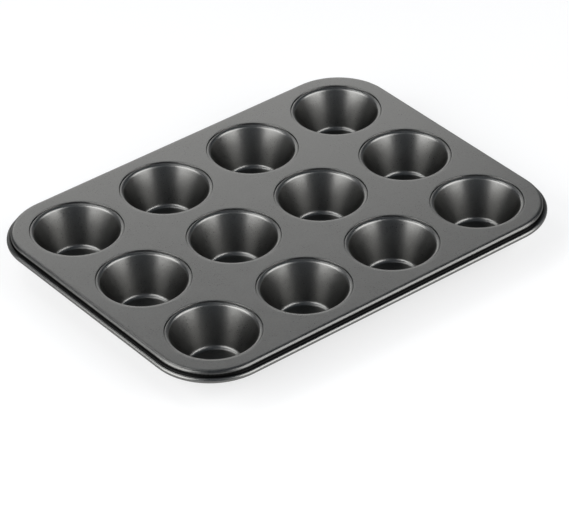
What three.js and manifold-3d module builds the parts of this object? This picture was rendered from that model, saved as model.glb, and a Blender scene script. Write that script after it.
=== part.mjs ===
// A twelve-cup muffin tin, built the way a seamed bakery pan is: a pressed frame plate whose edge is
// rolled over a stiffening wire, and one drawn cup for each hole of the plate. A cup drops in from above
// until its flange lies on the seat that is pressed round the hole, one step below the deck. The collar
// under the seat centres the cup, and a bead swaged in the cup's wall just under the collar locks it there.
//
// Millimetres. +Z is up, X runs along the long side, and the origin is the middle of the footprint, on
// the plane that the undersides of the cups stand on.

import * as THREE from "three";
import { mergeVertices } from "three/addons/utils/BufferGeometryUtils.js";
import Module from "manifold-3d";

// ---- Driving dimensions ----

// Layout: cups in columns along X and rows along Y.
const COLUMNS = 4;
const ROWS = 3;
const WEB_WIDTH = 12.1; // flat deck between the seats of two neighbouring cups
const END_MARGIN = 10.45; // flat deck from the outer seats to the deck's edge, at the two ends
const SIDE_MARGIN = 9.7; // the same along the two long sides
const DECK_CORNER_RADIUS = 42.4; // corner of the flat deck, where its edge starts to bend down

// Sheet and clearances.
const FRAME_GAUGE = 0.6;
const CUP_GAUGE = 0.6;
const GAP = 0.3; // between pieces that nest without touching

// Cup, measured on its inside.
const MOUTH_RADIUS = 34.2; // where the flange ends and the shoulder starts to turn down
const LEDGE_WIDTH = 1; // flange and seat, from the mouth out to the step in the deck
const LEDGE_DROP = 0.8; // deck's top face to the flange's top face
const SHOULDER_RADIUS = 2.6;
const FLOOR_RADIUS = 18.1; // flat part of the floor
const FOOT_RADIUS = 4; // fillet from the floor to the wall
const CUP_DEPTH = 31.5; // deck's top face to the floor

// Joint of cup and plate.
const COLLAR_HEIGHT = 4; // seat's top face to the collar's lower edge
const LOCK_BEAD_WIDTH = 1.8;
const LOCK_BEAD_HEIGHT = 0.8;

// Edge of the plate: a bend, a skirt, a hollow and a bead rolled over the wire.
const EDGE_BEND_RADIUS = 2.6; // outside of the bend from the deck to the skirt
const RIM_DROP = 8.6; // deck's top face to the bottom of the bead
const HOLLOW_RADIUS = 0.8; // inside corner between skirt and bead
const BEAD_SET_OUT = 1.1; // skirt's outer face to the middle of the bead
const WIRE_RADIUS = 1.15;
const CURL_END = (-210 * Math.PI) / 180; // where the rolled edge stops, counted from straight out
const WIRE_BUTT_GAP = 0.5; // the two ends of the wire meet at the middle of the rear side

// Fineness of the round shapes.
const CUP_FACETS = 20;
const CORNER_FACETS = 8;
const ARC_STEP = Math.PI / 4.5; // widest step of a small arc in a profile
const SHARED_STRIPS = 7; // the narrowest flat of the deck holds this many of the strips that its parts share

// ---- Derived dimensions ----

const seatRadius = MOUTH_RADIUS + LEDGE_WIDTH;
const pitch = 2 * seatRadius + WEB_WIDTH;
const deckHalfLength = ((COLUMNS - 1) / 2) * pitch + seatRadius + END_MARGIN;
const deckHalfWidth = ((ROWS - 1) / 2) * pitch + seatRadius + SIDE_MARGIN;
const cornerX = deckHalfLength - DECK_CORNER_RADIUS; // the centre that a corner turns about
const cornerY = deckHalfWidth - DECK_CORNER_RADIUS;

const floorTop = CUP_GAUGE;
const deckTop = floorTop + CUP_DEPTH;
const ledgeTop = deckTop - LEDGE_DROP;
const seatTop = ledgeTop - CUP_GAUGE;

// The wall is the line that touches the shoulder on its inner side and the foot fillet on its outer side.
const shoulder = { x: MOUTH_RADIUS, y: ledgeTop - SHOULDER_RADIUS };
const foot = { x: FLOOR_RADIUS, y: floorTop + FOOT_RADIUS };
const lean =
  Math.atan2(shoulder.x - foot.x, shoulder.y - foot.y) -
  Math.asin((SHOULDER_RADIUS + FOOT_RADIUS) / Math.hypot(shoulder.x - foot.x, shoulder.y - foot.y));
const wallNormal = { x: Math.cos(lean), y: -Math.sin(lean) }; // away from the cup's axis

const beadRadius = WIRE_RADIUS + GAP + FRAME_GAUGE;
const bead = { x: EDGE_BEND_RADIUS + BEAD_SET_OUT, y: deckTop - RIM_DROP + beadRadius };
const hollowX = EDGE_BEND_RADIUS + HOLLOW_RADIUS;
const hollowReach = beadRadius + HOLLOW_RADIUS; // from the bead's middle to the hollow's
const hollow = { x: hollowX, y: bead.y + Math.sqrt(hollowReach ** 2 - (bead.x - hollowX) ** 2) };
const curlStart = Math.atan2(hollow.y - bead.y, hollow.x - bead.x);

// ---- Profiles: lists of points, x out from the axis or from the deck's edge, y up ----

// Points of an arc from one angle to another, both ends included.
function arc(centre, radius, from, to) {
  const steps = Math.max(1, Math.ceil(Math.abs(to - from) / ARC_STEP - 1e-6));
  return Array.from({ length: steps + 1 }, (_, k) => {
    const angle = from + ((to - from) * k) / steps;
    return new THREE.Vector2(centre.x + radius * Math.cos(angle), centre.y + radius * Math.sin(angle));
  });
}

// The point of the wall's outer face at a height, moved out from the face.
function onWall(height, out = 0) {
  const start = {
    x: foot.x + (FOOT_RADIUS + CUP_GAUGE) * wallNormal.x,
    y: foot.y + (FOOT_RADIUS + CUP_GAUGE) * wallNormal.y,
  };
  const x = start.x + (height - start.y) * Math.tan(lean);
  return new THREE.Vector2(x + out * wallNormal.x, height + out * wallNormal.y);
}

// From the axis out under the floor, up the outside, over the flange and down the inside to the axis again.
function cupProfile() {
  const up = Math.PI / 2;
  const flangeRadius = seatRadius - GAP;
  const beadTop = seatTop - COLLAR_HEIGHT - GAP;
  const rise = LOCK_BEAD_HEIGHT / 2;
  return [
    new THREE.Vector2(0, 0),
    ...arc(foot, FOOT_RADIUS + CUP_GAUGE, -up, -lean),
    onWall(beadTop - LOCK_BEAD_WIDTH),
    onWall(beadTop - LOCK_BEAD_WIDTH + rise, LOCK_BEAD_HEIGHT),
    onWall(beadTop - rise, LOCK_BEAD_HEIGHT),
    onWall(beadTop),
    ...arc(shoulder, SHOULDER_RADIUS - CUP_GAUGE, Math.PI - lean, up),
    new THREE.Vector2(flangeRadius, seatTop),
    new THREE.Vector2(flangeRadius, ledgeTop),
    ...arc(shoulder, SHOULDER_RADIUS, up, Math.PI - lean),
    ...arc(foot, FOOT_RADIUS, -lean, -up),
    new THREE.Vector2(0, floorTop),
  ];
}

// The plate round one hole: a strip of deck, the step, the seat and the collar that follows the cup's wall.
function seatProfile(stripRadius) {
  const up = Math.PI / 2;
  const bendRadius = SHOULDER_RADIUS - CUP_GAUGE - GAP;
  const bend = { x: MOUTH_RADIUS + GAP * Math.tan(lean), y: seatTop - bendRadius };
  const collarEnd = seatTop - COLLAR_HEIGHT;
  return [
    new THREE.Vector2(stripRadius, deckTop),
    new THREE.Vector2(seatRadius, deckTop),
    new THREE.Vector2(seatRadius, seatTop),
    ...arc(bend, bendRadius, up, Math.PI - lean),
    onWall(collarEnd, GAP),
    onWall(collarEnd, GAP + FRAME_GAUGE),
    ...arc(bend, bendRadius - FRAME_GAUGE, Math.PI - lean, up),
    new THREE.Vector2(seatRadius + FRAME_GAUGE, seatTop - FRAME_GAUGE),
    new THREE.Vector2(seatRadius + FRAME_GAUGE, deckTop - FRAME_GAUGE),
    new THREE.Vector2(stripRadius, deckTop - FRAME_GAUGE),
  ];
}

// The plate's edge: out over the bend, down the skirt, round the bead, and back along the inner face.
function rimProfile(stripWidth) {
  const up = Math.PI / 2;
  const bend = { x: 0, y: deckTop - EDGE_BEND_RADIUS };
  const outerFace = [
    new THREE.Vector2(-stripWidth, deckTop),
    ...arc(bend, EDGE_BEND_RADIUS, up, 0),
    ...arc(hollow, HOLLOW_RADIUS, -Math.PI, curlStart - Math.PI),
    ...arc(bead, beadRadius, curlStart, CURL_END).slice(1),
  ];
  const innerFace = [
    new THREE.Vector2(-stripWidth, deckTop - FRAME_GAUGE),
    ...arc(bend, EDGE_BEND_RADIUS - FRAME_GAUGE, up, 0),
    ...arc(hollow, HOLLOW_RADIUS + FRAME_GAUGE, -Math.PI, curlStart - Math.PI),
    ...arc(bead, beadRadius - FRAME_GAUGE, curlStart, CURL_END).slice(1),
  ];
  return [...outerFace, ...innerFace.reverse()];
}

// ---- Solids ----

const wasm = await Module();
wasm.setup();

function toSolid(geometry) {
  const bare = geometry.clone();
  bare.deleteAttribute("normal");
  bare.deleteAttribute("uv");
  const merged = mergeVertices(bare, 1e-4);
  return new wasm.Manifold(
    new wasm.Mesh({
      numProp: 3,
      vertProperties: new Float32Array(merged.attributes.position.array),
      triVerts: new Uint32Array(merged.index.array),
    }),
  );
}

function toGeometry(solid) {
  const mesh = solid.getMesh();
  const geometry = new THREE.BufferGeometry();
  geometry.setAttribute("position", new THREE.BufferAttribute(mesh.vertProperties, 3));
  geometry.setIndex(new THREE.BufferAttribute(mesh.triVerts, 1));
  geometry.computeVertexNormals();
  return geometry;
}

// A profile turned about the vertical axis.
function turned(profile, closed) {
  const points = closed ? [...profile, profile[0].clone()] : profile;
  return new THREE.LatheGeometry(points, CUP_FACETS).rotateX(Math.PI / 2);
}

// The stops of a sweep round the tin, counter-clockwise from the rear side: the centre that the path turns
// about, and the direction out from it. An offset from the deck's edge is the corner radius plus the offset
// in that direction.
function stationsRound() {
  const corners = [
    [-1, 1],
    [-1, -1],
    [1, -1],
    [1, 1],
  ];
  return corners.flatMap(([sideX, sideY], quarter) =>
    Array.from({ length: CORNER_FACETS + 1 }, (_, k) => {
      const angle = ((quarter + 1 + k / CORNER_FACETS) * Math.PI) / 2;
      return {
        centre: new THREE.Vector2(sideX * cornerX, sideY * cornerY),
        direction: new THREE.Vector2(Math.cos(angle), Math.sin(angle)),
      };
    }),
  );
}

// A profile swept through the stations. A closed sweep joins its last station to its first, and an open
// one is capped by a fan at each end, so its profile is convex.
function swept(profile, stations, closed) {
  const positions = stations.flatMap(({ centre, direction }) =>
    profile.flatMap((point) => {
      const reach = DECK_CORNER_RADIUS + point.x;
      return [centre.x + reach * direction.x, centre.y + reach * direction.y, point.y];
    }),
  );
  const count = profile.length;
  const lastSpan = closed ? stations.length : stations.length - 1;
  const index = [];
  for (let s = 0; s < lastSpan; s++) {
    const here = s * count;
    const next = ((s + 1) % stations.length) * count;
    for (let i = 0; i < count; i++) {
      const j = (i + 1) % count;
      index.push(here + i, here + j, next + i);
      index.push(next + i, here + j, next + j);
    }
  }
  if (!closed) {
    const end = (stations.length - 1) * count;
    for (let i = 1; i < count - 1; i++) {
      index.push(0, i + 1, i);
      index.push(end, end + i, end + i + 1);
    }
  }
  const geometry = new THREE.BufferGeometry();
  geometry.setAttribute("position", new THREE.Float32BufferAttribute(positions, 3));
  geometry.setIndex(index);
  return geometry;
}

// The middle of the cup in each column and row.
function cupCentre(column, row) {
  return new THREE.Vector2((column - (COLUMNS - 1) / 2) * pitch, (row - (ROWS - 1) / 2) * pitch);
}

const everyCup = Array.from({ length: COLUMNS * ROWS }, (_, n) => [n % COLUMNS, Math.floor(n / COLUMNS)]);

// The flat of the deck with a round hole for each seat, up to an inset from the deck's edge.
function deckSheet(inset, holeRadius) {
  const radius = DECK_CORNER_RADIUS - inset;
  const outline = new THREE.Shape();
  outline.absarc(cornerX, cornerY, radius, 0, Math.PI / 2);
  outline.absarc(-cornerX, cornerY, radius, Math.PI / 2, Math.PI);
  outline.absarc(-cornerX, -cornerY, radius, Math.PI, 1.5 * Math.PI);
  outline.absarc(cornerX, -cornerY, radius, 1.5 * Math.PI, 2 * Math.PI);
  for (const [column, row] of everyCup) {
    const centre = cupCentre(column, row);
    outline.holes.push(new THREE.Path().absarc(centre.x, centre.y, holeRadius, 0, 2 * Math.PI));
  }
  const sheet = new THREE.ExtrudeGeometry(outline, {
    depth: FRAME_GAUGE,
    bevelEnabled: false,
    curveSegments: CORNER_FACETS,
  });
  return sheet.translate(0, 0, deckTop - FRAME_GAUGE);
}

// The plate is the flat sheet joined to its rolled edge and its seats, over strips of flat deck that they share.
function framePlate() {
  const shared = Math.min(WEB_WIDTH, END_MARGIN, SIDE_MARGIN) / SHARED_STRIPS;
  const seatStrip = seatRadius + FRAME_GAUGE + shared;
  const seat = toSolid(turned(seatProfile(seatStrip + shared), true));
  let plate = toSolid(deckSheet(shared, seatStrip));
  plate = plate.add(toSolid(swept(rimProfile(2 * shared), stationsRound(), true)));
  for (const [column, row] of everyCup) {
    const centre = cupCentre(column, row);
    plate = plate.add(seat.translate([centre.x, centre.y, 0]));
  }
  return toGeometry(plate);
}

// One length of round wire inside the rolled edge, its ends butted at the middle of the rear side.
function rimWire() {
  const section = Array.from({ length: 8 }, (_, k) => {
    const angle = (-k * Math.PI) / 4;
    return new THREE.Vector2(bead.x + WIRE_RADIUS * Math.cos(angle), bead.y + WIRE_RADIUS * Math.sin(angle));
  });
  const end = (side) => ({
    centre: new THREE.Vector2((side * WIRE_BUTT_GAP) / 2, cornerY),
    direction: new THREE.Vector2(0, 1),
  });
  return swept(section, [end(-1), ...stationsRound(), end(1)], false);
}

// ---- The tin ----

const nonStickCoat = new THREE.MeshStandardMaterial({ color: 0x7a7a78, roughness: 0.38, metalness: 0.85 });
const cupCoat = nonStickCoat.clone();
const wireSteel = new THREE.MeshStandardMaterial({ color: 0x9a9a98, roughness: 0.45, metalness: 1 });

function piece(name, geometry, material) {
  const mesh = new THREE.Mesh(geometry, material);
  mesh.name = name;
  return mesh;
}

const muffinTin = new THREE.Group();
muffinTin.add(piece("frame_plate", framePlate(), nonStickCoat));
muffinTin.add(piece("rim_wire", rimWire(), wireSteel));

const cups = new THREE.Group();
const cupShell = turned(cupProfile(), false);
for (const [column, row] of everyCup) {
  const cup = piece(`cup_row${row + 1}_column${column + 1}`, cupShell, cupCoat);
  const centre = cupCentre(column, row);
  cup.position.set(centre.x, centre.y, 0);
  cups.add(cup);
}
muffinTin.add(cups);

export default muffinTin;
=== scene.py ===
# %% [markdown]
# # A twelve-cup muffin tin
#
# The tin is a frame plate with a rolled edge, and twelve drawn cups locked into holes in the plate. The
# solids of the CAD model are its frame: they set every place and size. They are faceted, so each one is
# made again here as a smooth mesh on the same profile, with real radii on its folds, and covered with the
# satin non-stick coating that such a tin has.

import math

import bmesh
import bpy
from mathutils import Matrix, Vector


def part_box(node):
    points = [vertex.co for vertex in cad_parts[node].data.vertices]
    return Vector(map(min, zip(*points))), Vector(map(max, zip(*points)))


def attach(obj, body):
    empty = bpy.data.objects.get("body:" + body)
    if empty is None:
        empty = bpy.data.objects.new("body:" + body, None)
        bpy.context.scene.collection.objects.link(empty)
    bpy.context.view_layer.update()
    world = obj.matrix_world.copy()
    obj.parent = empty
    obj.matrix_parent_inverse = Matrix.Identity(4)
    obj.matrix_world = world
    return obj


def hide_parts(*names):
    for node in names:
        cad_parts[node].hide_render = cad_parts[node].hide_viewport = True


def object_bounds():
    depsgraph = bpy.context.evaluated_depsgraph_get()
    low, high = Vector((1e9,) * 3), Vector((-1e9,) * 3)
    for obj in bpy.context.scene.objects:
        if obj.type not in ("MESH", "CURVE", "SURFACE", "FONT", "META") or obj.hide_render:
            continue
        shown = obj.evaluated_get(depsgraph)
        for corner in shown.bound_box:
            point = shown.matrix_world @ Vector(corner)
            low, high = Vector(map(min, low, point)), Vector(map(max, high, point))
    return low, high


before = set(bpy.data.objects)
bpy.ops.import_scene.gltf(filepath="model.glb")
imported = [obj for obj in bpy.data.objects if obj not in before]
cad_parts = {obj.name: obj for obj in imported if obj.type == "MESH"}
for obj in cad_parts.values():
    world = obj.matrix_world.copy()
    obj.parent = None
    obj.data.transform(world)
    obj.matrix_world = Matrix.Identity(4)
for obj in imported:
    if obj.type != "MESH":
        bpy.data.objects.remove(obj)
MM = 0.001
cad_low, cad_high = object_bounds()
print("CAD box in mm:", [round(side / MM, 1) for side in cad_high - cad_low])

# %% [markdown]
# ## Sizes
#
# Places come from the boxes of the solids. A cup's box gives its centre, the reach of its flange and the
# height of its ledge, and the wire's box gives the middle of the rolled bead. All of it could be typed in as
# numbers, but then a change in the CAD model would leave this script behind. Only sizes that a box can't
# show, such as a radius or the sheet's gauge, are written here. Each is what the solid was made with.

# %% Read the boxes and name the sizes
GAUGE = 0.6 * MM  # sheet of the plate and of the cups
GAP = 0.3 * MM  # clearance between nested pieces
LEDGE_WIDTH = 1 * MM  # flat ring of a cup's flange
SHOULDER_RADIUS = 2.6 * MM  # fold from the flange into the wall, on the inside
FLOOR_RADIUS = 18.1 * MM  # flat floor of a cup
FOOT_RADIUS = 4 * MM  # fold from the wall into the floor, on the inside
COLLAR_HEIGHT = 4 * MM  # how far the plate turns down round a cup
EDGE_BEND_RADIUS = 2.6 * MM  # fold from the deck down into the skirt, on the outside
HOLLOW_RADIUS = 0.8 * MM  # fold from the skirt out into the bead
BEAD_SET_OUT = 1.1 * MM  # from the skirt to the middle of the bead
DECK_CORNER_RADIUS = 42.4 * MM  # corners of the flat deck

cup_nodes = sorted(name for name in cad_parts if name.startswith("cup_"))
cup_boxes = {name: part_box(name) for name in cup_nodes}
cup_low, cup_high = cup_boxes[cup_nodes[0]]
wire_low, wire_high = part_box("rim_wire")

deck_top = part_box("frame_plate")[1].z
ledge_top = cup_high.z
seat_top = ledge_top - GAUGE
floor_top = cup_low.z + GAUGE
flange_radius = (cup_high.x - cup_low.x) / 2
seat_radius = flange_radius + GAP
mouth_radius = seat_radius - LEDGE_WIDTH

columns = sorted({round(box[0].x, 6) for box in cup_boxes.values()})
pitch = columns[1] - columns[0]  # the same along the rows and across them

wire_radius = (wire_high.z - wire_low.z) / 2
bead_radius = wire_radius + GAP + GAUGE
bead_height = (wire_high.z + wire_low.z) / 2
bead_reach = EDGE_BEND_RADIUS + BEAD_SET_OUT  # from the flat deck's edge to the middle of the bead
corner_x = wire_high.x - wire_radius - bead_reach - DECK_CORNER_RADIUS
corner_y = wire_high.y - wire_radius - bead_reach - DECK_CORNER_RADIUS

print(len(cup_nodes), "cups of mouth radius", round(mouth_radius / MM, 2), "mm")
print("the deck is", round(deck_top / MM, 2), "mm up")

# %% [markdown]
# ## Camera
#
# A short lens close by would make the near cups much larger than the far ones. A long lens from about two
# and a half metres keeps them nearly the same size. The camera looks down on one corner. It is placed by its
# azimuth and elevation about the middle of the deck, then slid a little in its own plane, so the tin sits
# above the middle of the frame, and rolled slightly.

# %% Place the camera
CAMERA_AZIMUTH = math.radians(-37.78)
CAMERA_ELEVATION = math.radians(35.24)
CAMERA_ROLL = math.radians(-1.61)
CAMERA_DISTANCE = 2.465
CAMERA_LENS = 210.7
SLIDE_RIGHT = 5.06 * MM
SLIDE_UP = -29.8 * MM


def direction(azimuth, elevation):
    """Unit vector away from the tin. Azimuth 0 is the front, -Y, and it grows towards +X."""
    level = math.cos(elevation)
    return Vector((math.sin(azimuth) * level, -math.cos(azimuth) * level, math.sin(elevation)))


def make_camera():
    back = direction(CAMERA_AZIMUTH, CAMERA_ELEVATION)
    level_right = Vector((math.cos(CAMERA_AZIMUTH), math.sin(CAMERA_AZIMUTH), 0))
    level_up = back.cross(level_right)
    right = level_right * math.cos(CAMERA_ROLL) + level_up * math.sin(CAMERA_ROLL)
    up = level_up * math.cos(CAMERA_ROLL) - level_right * math.sin(CAMERA_ROLL)
    place = Vector((0, 0, deck_top)) + back * CAMERA_DISTANCE + right * SLIDE_RIGHT + up * SLIDE_UP
    camera = bpy.data.objects.new("camera", bpy.data.cameras.new("camera"))
    camera.data.lens = CAMERA_LENS
    camera.matrix_world = Matrix.Translation(place) @ Matrix((right, up, back)).transposed().to_4x4()
    bpy.context.collection.objects.link(camera)
    bpy.context.scene.camera = camera
    return camera


print("camera at", [round(value, 2) for value in make_camera().matrix_world.translation])

# %% [markdown]
# ## Shader sums
#
# A finish is mostly arithmetic on masks: where the grain is, how far the coating has pooled. Wired by
# hand, that is dozens of Math nodes. A small class wraps a node's output and gives it Python's operators,
# so that `0.3 + 0.1 * grain` adds the two nodes and returns the new output. All other nodes come from one
# method that takes the node's type, its settings and its inputs. Places and colours have three parts, and a
# Math node would make one number of them, so they go through Vector Math and Mix nodes.

# %% A wrapped socket, and a sheet of nodes to put it on


class Signal:
    """A number or vector that varies over a surface: one output socket of a node."""

    def __init__(self, sheet, socket):
        self.sheet = sheet
        self.socket = socket

    def _math(self, operation, first, second):
        return self.sheet.node("ShaderNodeMath", {"operation": operation}, {0: first, 1: second})

    def __add__(self, other):
        return self._math("ADD", self, other)

    __radd__ = __add__

    def __mul__(self, other):
        return self._math("MULTIPLY", self, other)

    __rmul__ = __mul__

    def __sub__(self, other):
        return self._math("SUBTRACT", self, other)

    def __rsub__(self, other):
        return self._math("SUBTRACT", other, self)


class NodeSheet:
    """The nodes of one material or of the world."""

    def __init__(self, owner):
        owner.use_nodes = True
        self.tree = owner.node_tree
        self.tree.nodes.clear()

    def node(self, kind, settings=None, inputs=None, output=0):
        """Adds a node, sets its settings, then its sockets, and returns one of its outputs."""
        made = self.tree.nodes.new(kind)
        for name, value in (settings or {}).items():
            setattr(made, name, value)
        for key, value in (inputs or {}).items():
            if isinstance(value, Signal):
                self.tree.links.new(value.socket, made.inputs[key])
            else:
                made.inputs[key].default_value = value
        return Signal(self, made.outputs[output]) if made.outputs else made

    def ramp(self, signal, low, high):
        """0 below low, 1 above high, and a smooth rise between them."""
        return self.node(
            "ShaderNodeMapRange",
            {"interpolation_type": "SMOOTHSTEP"},
            {"Value": signal, "From Min": low, "From Max": high},
        )

    def vector(self, operation, *terms, output="Vector"):
        """A sum on places, part by part, such as SUBTRACT, or a single Value, such as their LENGTH."""
        return self.node("ShaderNodeVectorMath", {"operation": operation}, dict(enumerate(terms)), output)

    def blend(self, factor, first, second):
        """first where the factor is 0 and second where it is 1, as colours."""
        settings = {"data_type": "RGBA"}
        return self.node("ShaderNodeMix", settings, {"Factor": factor, 6: first, 7: second}, output=2)


print("shader helpers ready")

# %% [markdown]
# ## Floor
#
# The tin stands on a wide, plain, pale floor. The lamps could be turned up until it is white, but they would
# bleach the tin too. Instead the floor is a middle grey that the lamps light, with its shadow, and a Light
# Path node adds a glow that only the camera and mirrors see, which lifts it to white. From below the floor is
# clear, so that the underside of the tin can be looked at.

# %% Make the floor
FLOOR_HALF = 12.0
FLOOR_PALE = (0.3, 0.3, 0.3, 1)
FLOOR_LIFT = 0.66  # glow for the camera and mirrors


def rays_seen(sheet):
    """Two masks: 1 for a ray from the camera, and 1 for a ray off a mirror or through glass."""
    camera = sheet.node("ShaderNodeLightPath", output="Is Camera Ray")
    glossy = sheet.node("ShaderNodeLightPath", output="Is Glossy Ray")
    through = sheet.node("ShaderNodeLightPath", output="Is Transmission Ray")
    return camera, glossy + through


def make_floor():
    mesh = bpy.data.meshes.new("floor")
    shape = bmesh.new()
    bmesh.ops.create_grid(shape, x_segments=8, y_segments=8, size=FLOOR_HALF)
    shape.to_mesh(mesh)
    shape.free()
    floor = bpy.data.objects.new("floor", mesh)
    bpy.context.collection.objects.link(floor)
    material = bpy.data.materials.new("floor_pale")
    sheet = NodeSheet(material)
    seen, mirrored = rays_seen(sheet)
    pale = sheet.node("ShaderNodeBsdfDiffuse", inputs={"Color": FLOOR_PALE})
    glow = FLOOR_LIFT * (seen + mirrored)
    lift = sheet.node("ShaderNodeEmission", inputs={"Color": (1, 1, 1, 1), "Strength": glow})
    both = sheet.node("ShaderNodeAddShader", inputs={0: pale, 1: lift})
    clear = sheet.node("ShaderNodeBsdfTransparent")
    below = sheet.node("ShaderNodeNewGeometry", output="Backfacing")
    surface = sheet.node("ShaderNodeMixShader", inputs={"Fac": below, 1: both, 2: clear})
    sheet.node("ShaderNodeOutputMaterial", inputs={"Surface": surface})
    mesh.materials.append(material)
    floor.location.z = cad_low.z
    return floor


print("floor", make_floor().dimensions.x, "m wide")

# %% [markdown]
# ## Softboxes
#
# Satin metal has little look of its own. It shows the room, blurred, so the lamps decide how the tin looks.
# Point lamps would leave small hard spots, and area lamps leave broad soft ones, as softboxes do. One on each
# side draws the pair of streaks down every cup, a wide one behind gives the deck its even grey, and a small
# one overhead fills in between. No lamp stands beside the camera, which keeps the nearest folds dark.

# %% Place the softboxes
SOFTBOXES = {
    # degrees round from the camera, degrees up, distance, width and height in metres, watts
    "left": (-62, 28, 1.4, 1.4, 1.15, 26),
    "right": (67, 28, 1.4, 1.4, 1.15, 24),
    "rear": (-166, 25, 2.4, 2.0, 0.9, 11.5),
    "overhead": (-114, 62, 1.5, 0.6, 0.6, 4),
}


def make_softbox(name, azimuth, elevation, distance, width, height, watts):
    lamp = bpy.data.lights.new("softbox_" + name, "AREA")
    lamp.shape = "RECTANGLE"
    lamp.size = width
    lamp.size_y = height
    lamp.energy = watts
    box = bpy.data.objects.new("softbox_" + name, lamp)
    away = direction(CAMERA_AZIMUTH + math.radians(azimuth), math.radians(elevation))
    box.location = away * distance
    box.rotation_mode = "QUATERNION"
    box.rotation_quaternion = away.to_track_quat("Z", "Y")
    box.visible_camera = False
    bpy.context.collection.objects.link(box)
    return box


for name, values in SOFTBOXES.items():
    print(make_softbox(name, *values).name, "at", values[0], "degrees")

# %% [markdown]
# ## World
#
# The world fills in what no lamp reaches. A white world all round would wash out the dark middle of every
# cup, so this one is a dim and slightly cool room. The camera sees it white, so that the floor runs out into
# a white ground. Mirrors see some of that white too, low down at the rear, where the deck picks it up.

# %% Make the world
ROOM_DARK = (0.115, 0.135, 0.16, 1)
ROOM_WHITE = (1, 1, 1, 1)
REAR_WHITE = 0.6  # share of the white that mirrors see at the rear
REAR_STARTS = 0.6  # cosine of the angle from the rear at which that white starts
REAR_FULL = 0.95  # and the cosine from which it is at its full share


def make_world():
    world = bpy.data.worlds.new("studio")
    bpy.context.scene.world = world
    sheet = NodeSheet(world)
    seen, mirrored = rays_seen(sheet)
    towards = sheet.node("ShaderNodeTexCoord", output="Generated")
    rear = direction(CAMERA_AZIMUTH + math.pi, 0)
    facing = sheet.vector("DOT_PRODUCT", towards, rear, output="Value")
    white = seen + REAR_WHITE * mirrored * sheet.ramp(facing, REAR_STARTS, REAR_FULL)
    light = sheet.node("ShaderNodeBackground", inputs={"Color": sheet.blend(white, ROOM_DARK, ROOM_WHITE)})
    sheet.node("ShaderNodeOutputWorld", inputs={"Surface": light})
    return world


print("world:", make_world().name)
bpy.context.scene.view_settings.view_transform = "Standard"

# %% [markdown]
# ## Non-stick coating
#
# The coating is sprayed on and baked. It is dark and metallic, with a satin gloss and a fine grain from the
# spray. A plain grey with a bump would pass from far away, but the real grain changes the gloss as well as
# the shape. So one small noise feeds the colour, the roughness and the bump together, and a larger noise
# makes the broad unevenness of a sprayed film. One material covers the plate and the cups.
#
# Shade is painted into the coating's colour where shade falls: near black in the hollow under the rolled
# edge, and more lightly in the corner under the step round each cup. Both places could be painted by hand.
# Sums on
# the coordinates find them exactly: one folds the four corners onto each other, and the other wraps all
# twelve cups onto one.

# %% Where shade is painted into the coating
LEVEL = (1, 1, 0)  # times a place, this drops its height
SKIRT_FADE = (-0.2 * MM, 0)  # where the hollow's mask sets in, outwards to the skirt
BEAD_FADE = (-0.35 * MM, 0.15 * MM)  # and upwards past the top of the bead
RING_FADE = (-0.7 * MM, -0.3 * MM)  # where the step's mask sets in, outwards to the edge of the seat
SEAT_FADE = (-0.1 * MM, 0)  # and upwards to the seat
STEP_FADE = (-0.3 * MM, -0.05 * MM)  # where it ends, upwards to the deck

skirt_radius = DECK_CORNER_RADIUS + EDGE_BEND_RADIUS
bead_top = bead_height + bead_radius


def fade(sheet, value, level, limits):
    """A ramp between two limits counted from a level."""
    return sheet.ramp(value, level + limits[0], level + limits[1])


def painted_hollow_shade(sheet, place, height):
    """Painted shade mask: 1 in the hollow between the skirt and the bead, where shade falls, and 0 everywhere
    else.
    """
    folded = sheet.vector("ABSOLUTE", sheet.vector("MULTIPLY", place, LEVEL))
    past_corner = sheet.vector("SUBTRACT", folded, Vector((corner_x, corner_y, 0)))
    reach = sheet.vector("LENGTH", sheet.vector("MAXIMUM", past_corner, (0, 0, 0)), output="Value")
    return fade(sheet, reach, skirt_radius, SKIRT_FADE) * fade(sheet, height, bead_top, BEAD_FADE)


def painted_step_shade(sheet, place, height):
    """Painted shade mask: 1 in the corner under the step round each cup, where shade falls, and 0 everywhere
    else.
    """
    wrapped = sheet.vector("WRAP", place, (pitch, pitch / 2, 1), (0, -pitch / 2, -1))
    from_cup = sheet.vector("MULTIPLY", sheet.vector("SUBTRACT", wrapped, (pitch / 2, 0, 0)), LEVEL)
    reach = sheet.vector("LENGTH", from_cup, output="Value")
    ring = fade(sheet, reach, seat_radius, RING_FADE)
    below = 1 - fade(sheet, height, deck_top, STEP_FADE)
    return ring * below * fade(sheet, height, seat_top, SEAT_FADE)


print("the hollow lies outside a corner radius of", round(skirt_radius / MM, 1), "mm")
print("and above a height of", round(bead_top / MM, 2), "mm")

# %% Coating material
COAT_LIGHTER = (0.195, 0.1937, 0.1872, 1)
COAT_DARKER = (0.108, 0.10728, 0.10368, 1)
# near-black colour painted as shade into the hollow under the rolled edge and the corner under each cup's
# step
COAT_PAINTED_SHADE = (0.006, 0.006, 0.006, 1)
COAT_METALLIC = 1.0
COAT_ROUGHNESS = 0.31
COAT_GRAZING = (0.55, 0.55, 0.55, 1)  # weaker mirror at a grazing angle, as on a rough film
GRAIN_SIZE = 0.9 * MM
GRAIN_SHARE = 0.7  # of the change in colour, and the rest is the clouds'
GRAIN_GLOSS = 0.16  # change of roughness from grain to grain
GRAIN_STRENGTH = 0.35
GRAIN_DEPTH = 0.06 * MM
CLOUD_SIZE = 22 * MM
CLOUD_GLOSS = 0.06
STEP_SHADE_SHARE = 0.4  # how strongly shade is painted under the step


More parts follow.
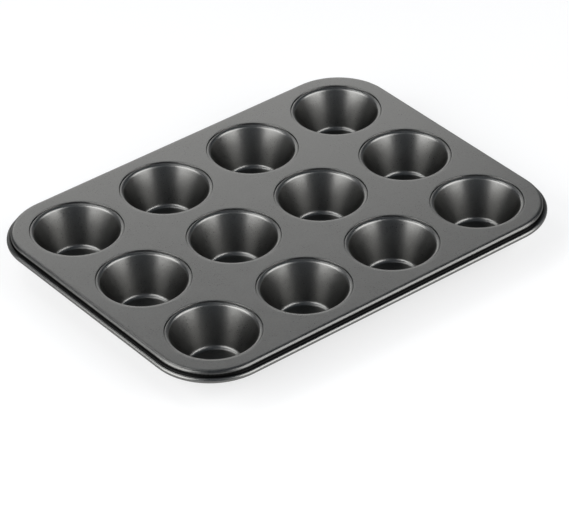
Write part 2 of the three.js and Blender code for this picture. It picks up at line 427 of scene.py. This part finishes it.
def make_coating():
    material = bpy.data.materials.new("nonstick_coating")
    sheet = NodeSheet(material)
    place = sheet.node("ShaderNodeTexCoord", output="Object")
    height = sheet.node("ShaderNodeSeparateXYZ", inputs={0: place}, output="Z")
    grain = sheet.node("ShaderNodeTexNoise", inputs={"Vector": place, "Scale": 1 / GRAIN_SIZE, "Detail": 2.0})
    cloud = sheet.node("ShaderNodeTexNoise", inputs={"Vector": place, "Scale": 1 / CLOUD_SIZE, "Detail": 3.0})
    colour = sheet.blend(GRAIN_SHARE * grain + (1 - GRAIN_SHARE) * cloud, COAT_DARKER, COAT_LIGHTER)
    # painted shade: near black in the hollow under the rolled edge
    colour = sheet.blend(painted_hollow_shade(sheet, place, height), colour, COAT_PAINTED_SHADE)
    # painted shade: partly darker in the corner under the step round each cup
    colour = sheet.blend(STEP_SHADE_SHARE * painted_step_shade(sheet, place, height), colour, COAT_PAINTED_SHADE)
    roughness = COAT_ROUGHNESS + GRAIN_GLOSS * (grain - 0.5) + CLOUD_GLOSS * (cloud - 0.5)
    bump = sheet.node(
        "ShaderNodeBump",
        inputs={"Strength": GRAIN_STRENGTH, "Distance": GRAIN_DEPTH, "Height": grain},
    )
    surface = sheet.node(
        "ShaderNodeBsdfPrincipled",
        inputs={
            "Base Color": colour,
            "Metallic": COAT_METALLIC,
            "Specular Tint": COAT_GRAZING,
            "Roughness": roughness,
            "Normal": bump,
        },
    )
    sheet.node("ShaderNodeOutputMaterial", inputs={"Surface": surface})
    return material


coating = make_coating()
print("material:", coating.name)

# %% [markdown]
# ## Wire steel
#
# The wire in the rolled edge is bare drawn steel. It shows only through the slit of the curl, from below, so
# one noise is enough for it: where it is high the bright steel has a patch of dull grey oxide, which is less
# metallic and rougher, and it lifts the surface a little.

# %% Wire material
WIRE_BRIGHT = (0.5, 0.49, 0.47, 1)
WIRE_ROUGHNESS = 0.38
WIRE_OXIDE = (0.2, 0.19, 0.18, 1)
OXIDE_SIZE = 6 * MM
OXIDE_STARTS = 0.45  # value of the noise at which a patch begins
OXIDE_FULL = 0.65
OXIDE_DULLING = 0.3  # how much less metallic a patch is
OXIDE_ROUGHENING = 0.2
OXIDE_STRENGTH = 0.2
OXIDE_DEPTH = 0.03 * MM


def make_wire_steel():
    material = bpy.data.materials.new("wire_steel")
    sheet = NodeSheet(material)
    place = sheet.node("ShaderNodeTexCoord", output="Object")
    oxide = sheet.node("ShaderNodeTexNoise", inputs={"Vector": place, "Scale": 1 / OXIDE_SIZE, "Detail": 4.0})
    patches = sheet.ramp(oxide, OXIDE_STARTS, OXIDE_FULL)
    bump = sheet.node(
        "ShaderNodeBump",
        inputs={"Strength": OXIDE_STRENGTH, "Distance": OXIDE_DEPTH, "Height": oxide},
    )
    surface = sheet.node(
        "ShaderNodeBsdfPrincipled",
        inputs={
            "Base Color": sheet.blend(patches, WIRE_BRIGHT, WIRE_OXIDE),
            "Metallic": 1 - OXIDE_DULLING * patches,
            "Roughness": WIRE_ROUGHNESS + OXIDE_ROUGHENING * patches,
            "Normal": bump,
        },
    )
    sheet.node("ShaderNodeOutputMaterial", inputs={"Surface": surface})
    return material


wire_steel = make_wire_steel()
print("material:", wire_steel.name)

# %% [markdown]
# ## Profiles
#
# Every piece of the tin is one outline moved along a path: a cup is turned about its axis, and the rolled
# edge runs round the tin. A rough outline with a Bevel or Subdivision modifier would round its folds too, but
# only roughly. Here an outline is a list of points, out and up, made of arcs and straight runs, so that each
# fold has its own true radius. Smooth shading needs points near each end of a straight run, or the shading
# of the next curve leaks along it, so long runs are split into short ones.

# %% Arcs and runs
LONGEST_RUN = 2 * MM
QUARTER = math.pi / 2


def arc(centre, radius, start, end, steps):
    """Points of an arc from one angle to another, both ends included."""
    angles = [start + (end - start) * k / steps for k in range(steps + 1)]
    return [(centre[0] + radius * math.cos(a), centre[1] + radius * math.sin(a)) for a in angles]


def split_runs(points):
    """The same outline with every long run split into equal short ones."""
    split = [points[0]]
    for (x0, z0), (x1, z1) in zip(points, points[1:]):
        parts = max(1, math.ceil(math.hypot(x1 - x0, z1 - z0) / LONGEST_RUN))
        split += [(x0 + (x1 - x0) * k / parts, z0 + (z1 - z0) * k / parts) for k in range(1, parts + 1)]
    return split


print("an arc of 4 steps:", [tuple(round(v, 2) for v in p) for p in arc((0, 0), 1, 0, QUARTER, 4)])

# %% [markdown]
# The cup's wall is the straight line that touches the shoulder on one side and the foot fillet on the
# other. Its lean from the vertical follows from the two circles, as in the CAD model, and the outer face
# and the plate's collar are the same line moved outwards.

# %% The line of the cup's wall
shoulder = (mouth_radius, ledge_top - SHOULDER_RADIUS)
foot = (FLOOR_RADIUS, floor_top + FOOT_RADIUS)
spread = (shoulder[0] - foot[0], shoulder[1] - foot[1])
lean = math.atan2(*spread) - math.asin((SHOULDER_RADIUS + FOOT_RADIUS) / math.hypot(*spread))


def on_wall(height, out=0.0):
    """The point of the wall's outer face at a height, moved out from the face."""
    normal = (math.cos(lean), -math.sin(lean))
    start = (foot[0] + (FOOT_RADIUS + GAUGE) * normal[0], foot[1] + (FOOT_RADIUS + GAUGE) * normal[1])
    x = start[0] + (height - start[1]) * math.tan(lean)
    return (x + out * normal[0], height + out * normal[1])


print("the wall leans", round(math.degrees(lean), 1), "degrees")

# %% [markdown]
# ## Cups
#
# A cup is drawn from one disc, so its outline has no sharp corner anywhere: a flat floor, a foot fillet,
# the tapered wall, a shoulder and a narrow flange. The bead that locks it under the plate's collar is
# swaged outwards in the wall.
#
# The Screw modifier could spin the outline. Mesh code does it here, because the same few lines then also
# carry the seats, the rolled edge and the wire, and a fan can close the floor.

# %% Outline of a cup
LOCK_BEAD_WIDTH = 1.8 * MM
LOCK_BEAD_HEIGHT = 0.8 * MM
LOCK_BEAD_STEPS = 8
FLANGE_SEAM = 0.05 * MM  # the flange all but touches the step, so no dark slit shows between them


def lock_bead(top):
    """A smooth swelling of the wall's outer face, below a height."""
    points = []
    for k in range(LOCK_BEAD_STEPS + 1):
        swell = LOCK_BEAD_HEIGHT * math.sin(math.pi * k / LOCK_BEAD_STEPS) ** 2
        points.append(on_wall(top - LOCK_BEAD_WIDTH * k / LOCK_BEAD_STEPS, swell))
    return points


def cup_outline():
    """From the axis under the floor, up the outside, round the flange and down the inside."""
    bead = lock_bead(seat_top - COLLAR_HEIGHT - GAP)
    edge = (seat_radius - FLANGE_SEAM - GAUGE / 2, ledge_top - GAUGE / 2)
    return split_runs(
        [(0.0, cup_low.z)]
        + arc(foot, FOOT_RADIUS + GAUGE, -QUARTER, -lean, 8)
        + bead[::-1]
        + arc(shoulder, SHOULDER_RADIUS - GAUGE, math.pi - lean, QUARTER, 8)
        + arc(edge, GAUGE / 2, -QUARTER, QUARTER, 6)
        + arc(shoulder, SHOULDER_RADIUS, QUARTER, math.pi - lean, 10)
        + arc(foot, FOOT_RADIUS, -lean, -QUARTER, 10)
        + [(0.0, floor_top)]
    )


print("cup outline:", len(cup_outline()), "points")

# %% Sweep, turn and cap


def sweep(shape, outline, stations, closed=True, looped=False):
    """Adds quads along an outline at every station, a (place, outward) pair, and returns the rings.

    Ring k holds the vertices that point k of the outline leaves at each station. A closed sweep joins
    its last station to its first, and a looped one joins the last point of the outline to the first.
    """
    rings = [[] for _ in outline]
    for place, outward in stations:
        for ring, (out, up) in zip(rings, outline):
            ring.append(shape.verts.new((place.x + out * outward.x, place.y + out * outward.y, up)))
    spans = len(stations) if closed else len(stations) - 1
    for ring, after in zip(rings, rings[1:] + rings[:looped]):
        for k in range(spans):
            n = (k + 1) % len(stations)
            shape.faces.new((ring[k], ring[n], after[n], after[k]))
    return rings


def turn_round(centre, sides):
    """Stations that turn an outline about the vertical axis at a centre."""
    angles = [2 * math.pi * k / sides for k in range(sides)]
    return [(centre, Vector((math.cos(a), math.sin(a)))) for a in angles]


def cap(shape, ring):
    """Closes a ring by a fan, so that its middle is one vertex."""
    hub = shape.verts.new(sum((vertex.co for vertex in ring), Vector()) / len(ring))
    for vertex, after in zip(ring, ring[1:] + ring[:1]):
        shape.faces.new((hub, vertex, after))


print("a turn of 4 stations:", [tuple(round(v) for v in out) for _, out in turn_round(Vector((0, 0)), 4)])

# %% Make the cups
CUP_SIDES = 96


def finish_piece(shape, name, material, slot, *nodes):
    """Turns the mesh code's result into a smooth object that stands for CAD nodes."""
    bmesh.ops.recalc_face_normals(shape, faces=shape.faces)
    for face in shape.faces:
        face.smooth = True
    mesh = bpy.data.meshes.new(name)
    shape.to_mesh(mesh)
    shape.free()
    mesh.materials.append(material)
    piece = bpy.data.objects.new(name, mesh)
    bpy.context.collection.objects.link(piece)
    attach(piece, "root")
    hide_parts(*nodes)
    return piece


def make_cup(node):
    low, high = cup_boxes[node]
    centre = ((low + high) / 2).to_2d()
    shape = bmesh.new()
    rings = sweep(shape, cup_outline()[1:-1], turn_round(centre, CUP_SIDES))
    cap(shape, rings[0])
    cap(shape, rings[-1])
    return finish_piece(shape, node + "_smooth", coating, "cup_coat", node)


cups = [make_cup(node) for node in cup_nodes]
print(len(cups), "cups of", len(cups[0].data.polygons), "faces each")

# %% [markdown]
# ## Frame plate
#
# The plate is one pressed sheet. Round each hole the deck steps down to a seat and turns down into a
# collar, and at the rim it bends over a skirt and rolls up into a bead. A flat sheet cut by twelve Booleans
# would leave long thin faces that shade badly beside a fold. So each hole, and the rim, is one swept outline
# that starts on the deck's top face and ends on its lower face, and the flat between them is filled later.

# %% Outline of a seat
STEP_EDGE_RADIUS = 0.25 * MM
FLAT_STRIP = 1.2 * MM  # flat deck that belongs to each swept outline


def seat_outline():
    """From the deck's top face in over the step, the seat and the collar, and back along the lower face."""
    top_edge = (seat_radius + STEP_EDGE_RADIUS, deck_top - STEP_EDGE_RADIUS)
    bend_radius = SHOULDER_RADIUS - GAUGE - GAP
    bend = (mouth_radius + GAP * math.tan(lean), seat_top - bend_radius)
    collar_end = seat_top - COLLAR_HEIGHT
    strip = seat_radius + STEP_EDGE_RADIUS + FLAT_STRIP
    lower_radius = GAUGE / 4  # the step's lower corner, under the deck
    lower_edge = (seat_radius + GAUGE - lower_radius, seat_top - GAUGE + lower_radius)
    return split_runs(
        [(strip, deck_top)]
        + arc(top_edge, STEP_EDGE_RADIUS, QUARTER, math.pi, 5)
        + [(seat_radius, seat_top)]
        + arc(bend, bend_radius, QUARTER, math.pi - lean, 6)
        + [on_wall(collar_end, GAP), on_wall(collar_end, GAP + GAUGE)]
        + arc(bend, bend_radius - GAUGE, math.pi - lean, QUARTER, 5)
        + arc(lower_edge, lower_radius, -QUARTER, 0, 4)
        + [(seat_radius + GAUGE, deck_top - GAUGE), (strip, deck_top - GAUGE)]
    )


print("seat outline:", len(seat_outline()), "points")

# %% [markdown]
# The sheet bends over the deck's edge, drops as a short skirt, turns out through a small hollow, and rolls
# round the wire into a bead that stops on the inner side. In section that is three arcs, with the straight
# skirt between the first two. The hollow and the bead touch at a point on the line between their centres, so
# the angle of that line says where one arc ends and the next one starts.

# %% Outline of the rolled edge
CURL_END = math.radians(-210)  # where the curl stops, counted from straight out


def edge_outline():
    """From the deck's top face out over the bend, the skirt and the bead, and back along the inner face."""
    bead = (bead_reach, bead_height)
    reach = bead_radius + HOLLOW_RADIUS
    hollow_out = EDGE_BEND_RADIUS + HOLLOW_RADIUS
    hollow = (hollow_out, bead_height + math.sqrt(reach**2 - (bead_reach - hollow_out) ** 2))
    curl_start = math.atan2(hollow[1] - bead[1], hollow[0] - bead[0])
    bend = (0.0, deck_top - EDGE_BEND_RADIUS)
    outer = (
        [(-FLAT_STRIP, deck_top)]
        + arc(bend, EDGE_BEND_RADIUS, QUARTER, 0, 10)
        + arc(hollow, HOLLOW_RADIUS, -math.pi, curl_start - math.pi, 8)
        + arc(bead, bead_radius, curl_start, CURL_END, 28)[1:]
    )
    inner = (
        [(-FLAT_STRIP, deck_top - GAUGE)]
        + arc(bend, EDGE_BEND_RADIUS - GAUGE, QUARTER, 0, 10)
        + arc(hollow, HOLLOW_RADIUS + GAUGE, -math.pi, curl_start - math.pi, 8)
        + arc(bead, bead_radius - GAUGE, curl_start, CURL_END, 28)[1:]
    )
    return split_runs(outer + inner[::-1])


print("edge outline:", len(edge_outline()), "points")

# %% [markdown]
# The edge's outline runs along the border of the flat deck: four straight sides and four round corners. A
# curve object with a bevel could do that, but it gives a mesh of its own, and these rings have to belong to
# the deck. A plain list of stations serves the plate and the wire alike. The sides are split into short
# steps, so that their faces are not long and thin.

# %% Path round the tin
CORNER_STEPS = 24
SIDE_STEP = 12 * MM


def split_sides(stations):
    """The same stations with every straight side split into short steps."""
    split = [stations[0]]
    for (place, _), (after, outward) in zip(stations, stations[1:]):
        parts = max(1, round((after - place).length / SIDE_STEP))
        split += [(place.lerp(after, k / parts), outward) for k in range(1, parts + 1)]
    return split


def run_round():
    """Stations along the flat deck's edge, from the middle of the rear side round to it again."""
    rear_middle = (Vector((0, corner_y + DECK_CORNER_RADIUS)), Vector((0, 1)))
    stations = [rear_middle]
    for quarter, (side_x, side_y) in enumerate(((-1, 1), (-1, -1), (1, -1), (1, 1))):
        centre = Vector((side_x * corner_x, side_y * corner_y))
        for k in range(CORNER_STEPS + 1):
            angle = QUARTER * (quarter + 1 + k / CORNER_STEPS)
            outward = Vector((math.cos(angle), math.sin(angle)))
            stations.append((centre + outward * DECK_CORNER_RADIUS, outward))
    return split_sides(stations + [rear_middle])


print(len(run_round()), "stations round the edge")

# %% [markdown]
# The swept edge and the twelve swept seats each leave a ring of edges in the deck's top face and another in
# its lower face. Filling the flat between those rings, once above and once below, makes the whole plate one
# closed mesh with twelve holes, and nothing has to be cut or merged.

# %% Join the deck, its edge and its seats
SEAT_SIDES = 96


def ring_edges(shape, ring):
    return [shape.edges.get((vertex, after)) for vertex, after in zip(ring, ring[1:] + ring[:1])]


def make_plate():
    shape = bmesh.new()
    sweeps = [sweep(shape, edge_outline(), run_round()[:-1])]
    for low, high in cup_boxes.values():
        centre = ((low + high) / 2).to_2d()
        sweeps.append(sweep(shape, seat_outline(), turn_round(centre, SEAT_SIDES)))
    for side, normal in ((0, Vector((0, 0, 1))), (-1, Vector((0, 0, -1)))):
        borders = [edge for rings in sweeps for edge in ring_edges(shape, rings[side])]
        bmesh.ops.triangle_fill(shape, use_beauty=True, edges=borders, normal=normal)
    return finish_piece(shape, "frame_plate_smooth", coating, "plate_coat", "frame_plate")


plate = make_plate()
print("plate:", len(plate.data.polygons), "faces")

# %% [markdown]
# ## Rim wire
#
# One length of round wire lies inside the bead and keeps the edge stiff. Its ends are butted at the middle
# of the rear side. A bevelled curve would make it in one call, but the sweep is there already: the outline
# is a circle, the path is left open, and both ends are capped.

# %% Lay the wire
WIRE_SIDES = 16
WIRE_BUTT_GAP = 0.5 * MM


def make_wire():
    circle = arc((bead_reach, bead_height), wire_radius, 0, 2 * math.pi, WIRE_SIDES)[:-1]
    stations = run_round()
    half_gap = Vector((WIRE_BUTT_GAP / 2, 0))
    stations[0] = (stations[0][0] - half_gap, stations[0][1])
    stations[-1] = (stations[-1][0] + half_gap, stations[-1][1])
    shape = bmesh.new()
    rings = sweep(shape, circle, stations, closed=False, looped=True)
    for end in (0, -1):
        cap(shape, [ring[end] for ring in rings])
    return finish_piece(shape, "rim_wire_smooth", wire_steel, "wire_steel", "rim_wire")


print("wire:", len(make_wire().data.polygons), "faces")
